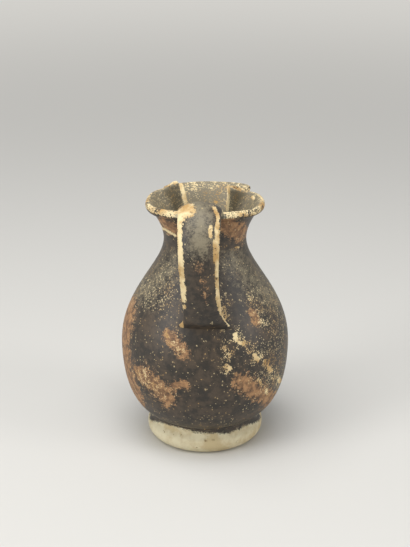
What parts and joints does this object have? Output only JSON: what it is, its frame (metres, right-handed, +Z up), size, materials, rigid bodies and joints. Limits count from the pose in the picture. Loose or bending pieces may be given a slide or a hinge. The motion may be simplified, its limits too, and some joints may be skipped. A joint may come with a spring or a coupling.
{
  "type": "trefoil-mouthed wine jug",
  "caption": "Small handled pottery jug on a ring foot, with a round belly, narrow neck, trefoil mouth pressed in at the sides and one strap handle rising above the lip.",
  "frame": {"origin": "middle of the whole jug's footprint, handle included, on the plane it stands on; the pot's own axis lies 3.75 mm towards +Y", "axes": "+Z up, +Y towards the pouring lobe, -Y towards the handle, +X to the right of somebody who looks from the handle's side"},
  "size_m": [0.1014, 0.1088, 0.1616],
  "materials": {
    "black_gloss": "worn satin black gloss over cream clay",
    "bare_clay": "matt fired clay"
  },
  "bodies": {
    "root": {"foot_ring": "bare_clay", "body": "black_gloss", "neck_and_mouth": "black_gloss", "strap_handle": "black_gloss", "upper_handle_luting": "bare_clay", "lower_handle_luting": "black_gloss"}
  },
  "joints": []
}
